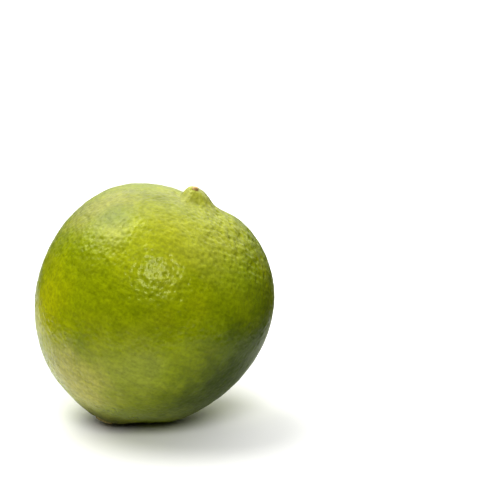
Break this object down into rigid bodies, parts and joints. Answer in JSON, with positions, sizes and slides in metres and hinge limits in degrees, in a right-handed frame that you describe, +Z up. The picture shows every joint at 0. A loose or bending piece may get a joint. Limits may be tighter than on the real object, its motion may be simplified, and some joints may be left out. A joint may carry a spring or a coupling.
{
  "type": "key lime",
  "caption": "Whole ripe key lime, nearly round, with a small nipple at the style end, a stem scar, and a small flat spot that it rests on.",
  "frame": {"origin": "middle of the small flat spot under the fruit, on the surface that it rests on", "axes": "+Z up, +X the way the core leans, so that the nipple points up and to +X, +Y away from the side that the picture shows"},
  "size_m": [0.0432, 0.0422, 0.0432],
  "materials": {
    "lime_skin": "satin"
  },
  "bodies": {
    "root": {"lime_fruit": "lime_skin"}
  },
  "joints": []
}
